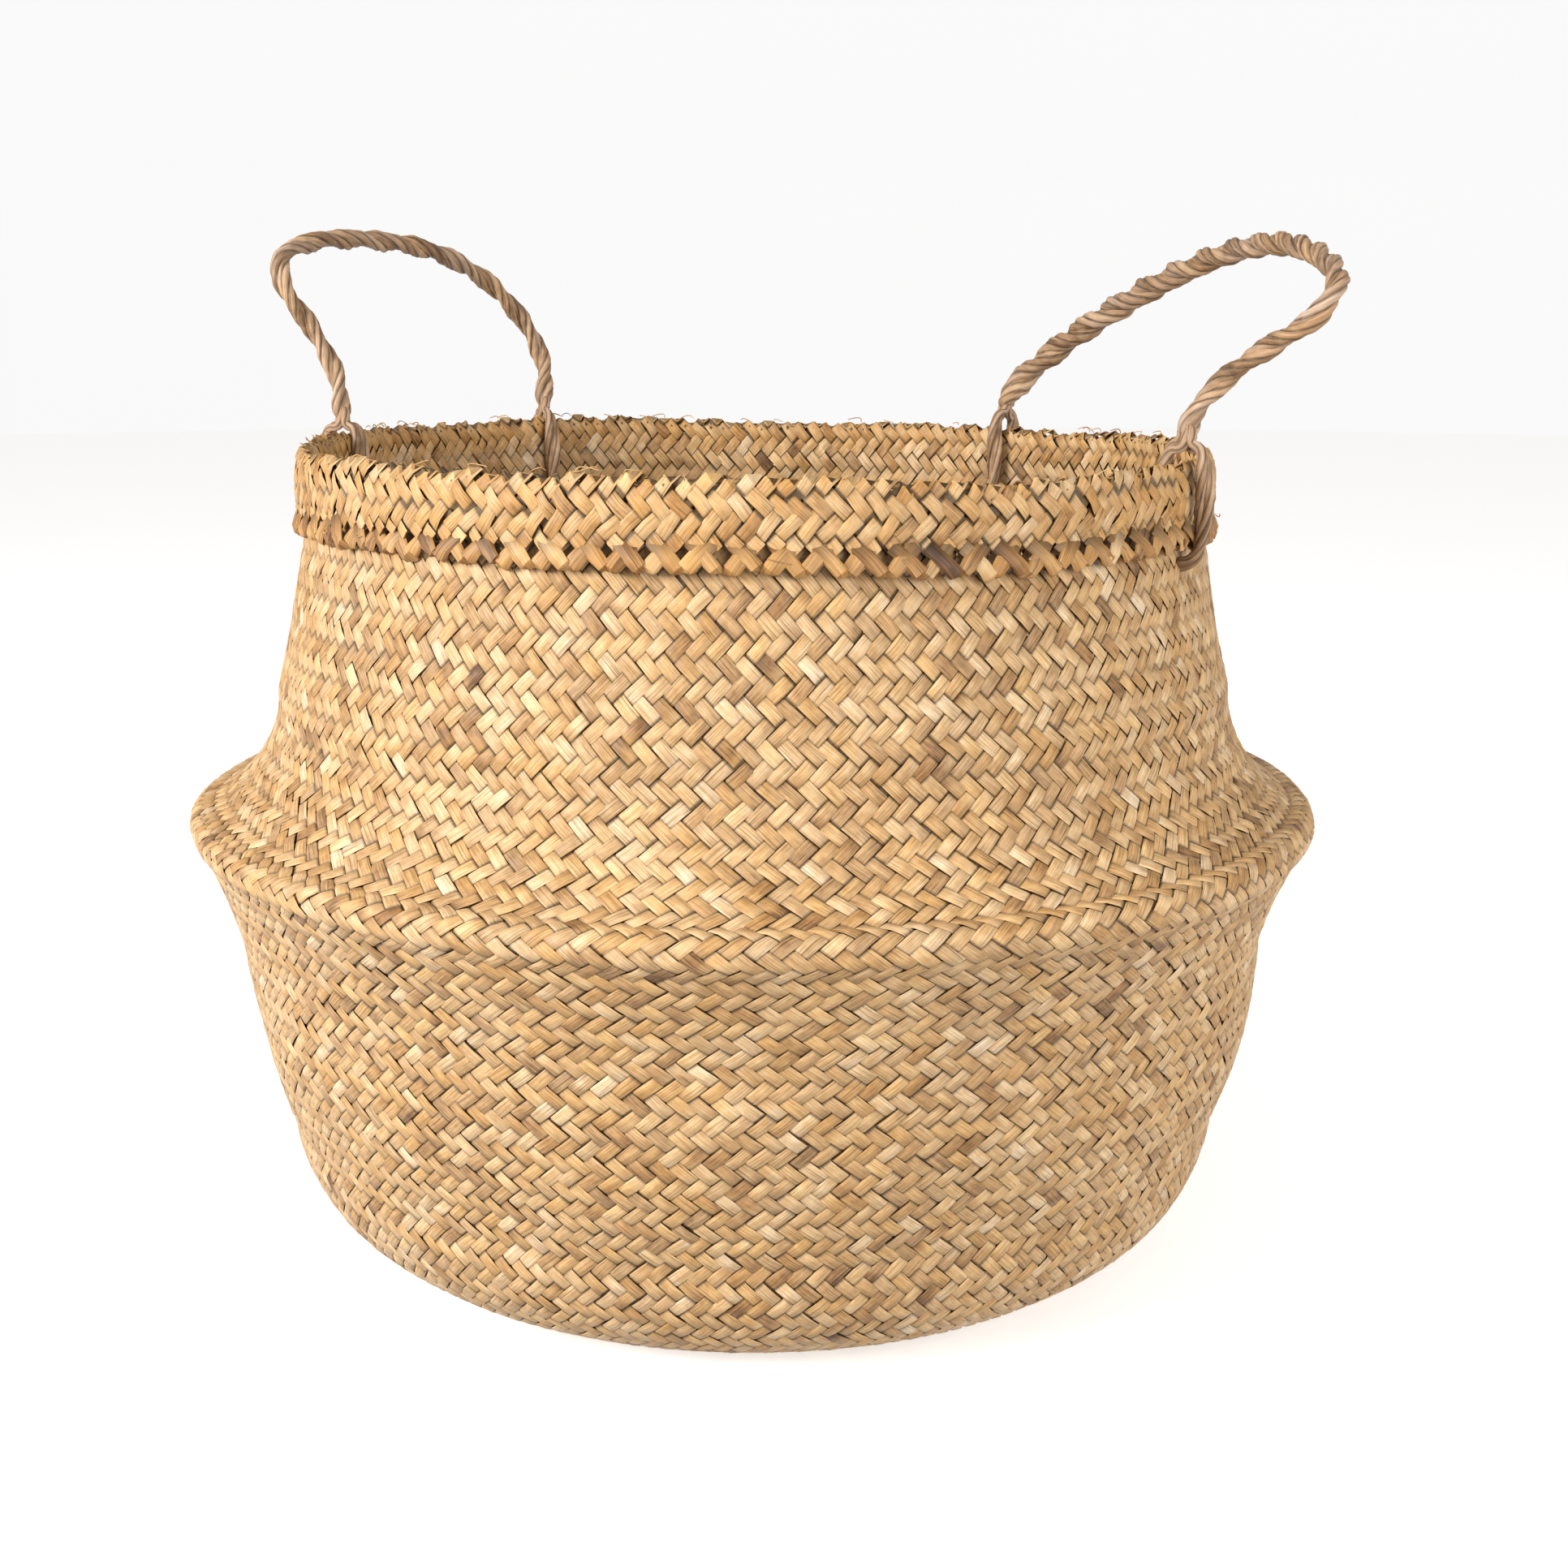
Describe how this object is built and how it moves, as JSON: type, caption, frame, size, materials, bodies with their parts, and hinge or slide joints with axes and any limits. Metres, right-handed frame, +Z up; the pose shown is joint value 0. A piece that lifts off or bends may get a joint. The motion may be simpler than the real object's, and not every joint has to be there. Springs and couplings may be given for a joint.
{
  "type": "seagrass storage basket",
  "caption": "Round belly basket of woven dry sedge with a folded ridge, a turned-down rim and twisted-rope carrying handles; the neck can be pushed down into the belly.",
  "frame": {"origin": "centre of the underside of the base, on the floor", "axes": "+Z up along the basket's axis; -Y towards the viewer, so that one handle stands at back left (-X, +Y) and the other at the right (+X)"},
  "size_m": [0.399, 0.399, 0.355],
  "materials": {
    "sedge_weave": "dry flattened sedge strips in a herringbone twill, matt, straw to tan, each strip a little different",
    "sedge_rim": "the same strips, wider, looser and more golden, folded over at the rim",
    "sedge_rope": "greyish tan sedge strips twisted into a two-strand rope, matt"
  },
  "bodies": {
    "base": {"woven_base": "sedge_weave", "base_curve": "sedge_weave", "lower_wall": "sedge_weave", "belly_ridge": "sedge_weave", "shoulder": "sedge_weave"},
    "collar": {"upper_wall": "sedge_weave", "rim_cuff": "sedge_rim", "cuff_turned_ends": "sedge_rim", "left_first_leg": "sedge_rope", "left_second_leg": "sedge_rope", "right_first_leg": "sedge_rope", "right_second_leg": "sedge_rope"},
    "left_handle": {"left_rope": "sedge_rope"},
    "right_handle": {"right_rope": "sedge_rope"}
  },
  "joints": [
    {"name": "collar_collapse", "type": "slide", "parent": "base", "child": "collar", "axis": [0, 0, 1], "range_m": [-0.078, 0], "deforming": ["shoulder"]},
    {"name": "left_handle_swing", "type": "hinge", "parent": "collar", "child": "left_handle", "pos_m": [-0.11977, 0.08232, 0.289], "axis": [0.5664, 0.8241, 0], "range_deg": [-60, 95]},
    {"name": "right_handle_swing", "type": "hinge", "parent": "collar", "child": "right_handle", "pos_m": [0.11955, 0.02108, 0.289], "axis": [0.1736, -0.9848, 0], "range_deg": [-40, 115]}
  ]
}
